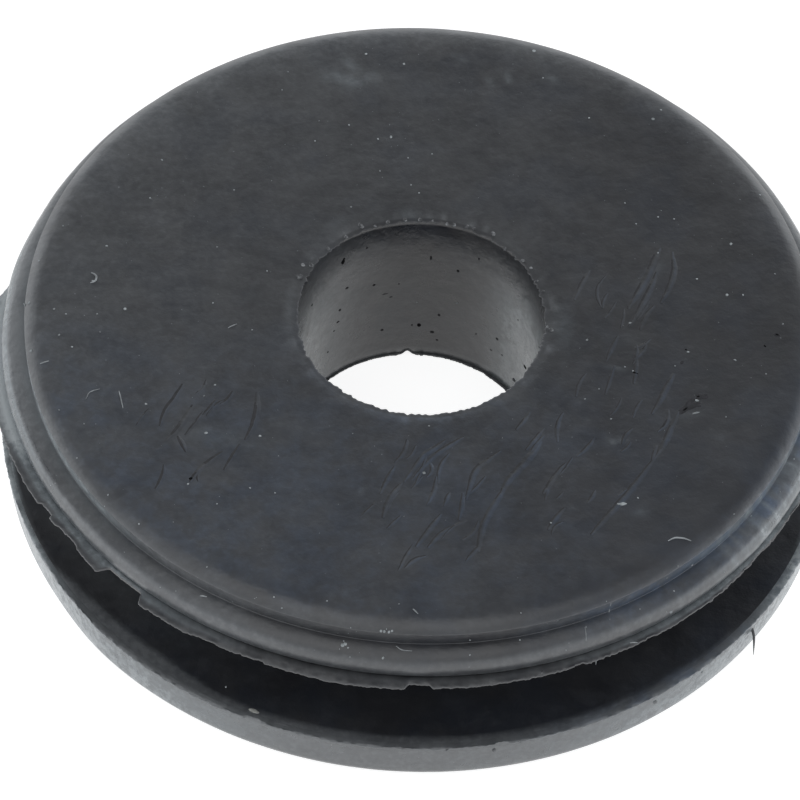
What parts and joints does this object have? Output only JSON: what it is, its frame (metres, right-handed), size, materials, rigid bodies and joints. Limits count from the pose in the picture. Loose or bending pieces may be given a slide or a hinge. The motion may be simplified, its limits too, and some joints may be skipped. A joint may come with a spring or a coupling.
{
  "type": "rubber grommet",
  "caption": "Round black rubber grommet with a grooved edge that snaps into a panel hole and a central bore that guards a cable.",
  "frame": {"origin": "centre of the bore at the level of the lower face, on which the part rests", "axes": "+Z along the bore, from the plain lower flange to the beaded upper flange; -Y is the front"},
  "size_m": [0.0208, 0.0208, 0.005],
  "materials": {
    "rubber": "satin, dusty, with wear marks"
  },
  "bodies": {
    "root": {"grommet": "rubber"}
  },
  "joints": []
}
